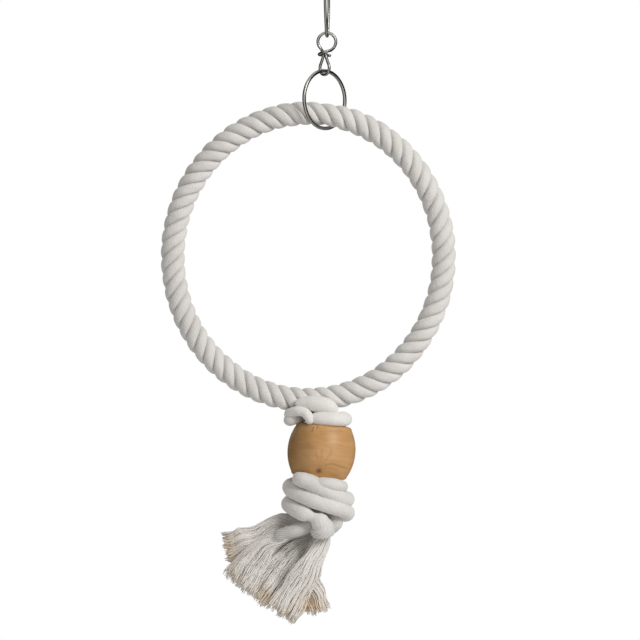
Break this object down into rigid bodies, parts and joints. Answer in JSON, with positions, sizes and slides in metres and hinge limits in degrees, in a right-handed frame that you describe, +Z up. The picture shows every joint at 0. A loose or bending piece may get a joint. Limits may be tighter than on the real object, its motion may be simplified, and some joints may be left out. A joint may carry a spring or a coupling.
{
  "type": "rope ring bird toy",
  "caption": "Hanging bird toy: ring of laid cotton rope on a wire clip hook, link and plain ring, with a turned wooden bead held between two knots and a frayed rope tassel.",
  "frame": {"origin": "inside top of the hook's bow, where it sits on a cage bar", "axes": "+Z up, +X to the viewer's right in the picture, front face towards -Y"},
  "size_m": [0.2056, 0.05, 0.4591],
  "materials": {
    "plated_wire": "nickel-plated steel wire, bright",
    "core_wire": "plain steel wire inside the rope",
    "cotton_rope": "undyed cotton, three-strand laid, unlaid and frayed at the tassel",
    "turned_wood": "turned, smooth, uncoated"
  },
  "bodies": {
    "hook": {"cage_hook": "plated_wire"},
    "gate": {"hook_gate": "plated_wire"},
    "link": {"chain_link": "plated_wire"},
    "plain_ring": {"hanging_ring": "plated_wire"},
    "rope": {"ring_core_hoop": "core_wire", "ring_strand_1": "cotton_rope", "ring_strand_2": "cotton_rope", "ring_strand_3": "cotton_rope", "upper_knot_front_turn": "cotton_rope", "upper_knot_back_turn": "cotton_rope", "upper_knot_loop": "cotton_rope", "leg_strand_1": "cotton_rope", "leg_strand_2": "cotton_rope", "leg_strand_3": "cotton_rope", "leg_strand_4": "cotton_rope", "leg_strand_5": "cotton_rope", "leg_strand_6": "cotton_rope", "tassel_tail_1": "cotton_rope", "tassel_tail_2": "cotton_rope", "tassel_tail_3": "cotton_rope", "tassel_tail_4": "cotton_rope", "tassel_tail_5": "cotton_rope", "tassel_tail_6": "cotton_rope"},
    "bead": {"wood_bead": "turned_wood"}
  },
  "joints": [
    {"name": "gate_hinge", "type": "hinge", "parent": "hook", "child": "gate", "pos_m": [0.00053, 0.00249, -0.04195], "axis": [0.9781, -0.208, 0], "range_deg": [0, 15], "stiffness_Nm_per_rad": 0.05, "springref_deg": -2.86},
    {"name": "link_swing", "type": "hinge", "parent": "hook", "child": "link", "pos_m": [0, 0, -0.0475], "axis": [0.208, 0.9781, 0], "range_deg": [-45, 45]},
    {"name": "ring_swing", "type": "hinge", "parent": "link", "child": "plain_ring", "pos_m": [-0.0017, 0, -0.0743], "axis": [0.7071, -0.7071, 0], "range_deg": [-45, 45]},
    {"name": "rope_swing", "type": "hinge", "parent": "plain_ring", "child": "rope", "pos_m": [-0.0017, 0, -0.10203], "axis": [0.9919, 0, -0.1271], "range_deg": [-60, 60]},
    {"name": "bead_spin", "type": "hinge", "parent": "rope", "child": "bead", "pos_m": [-0.00385, 0, -0.33775], "axis": [0.1045, 0, 0.9945], "continuous": true}
  ]
}
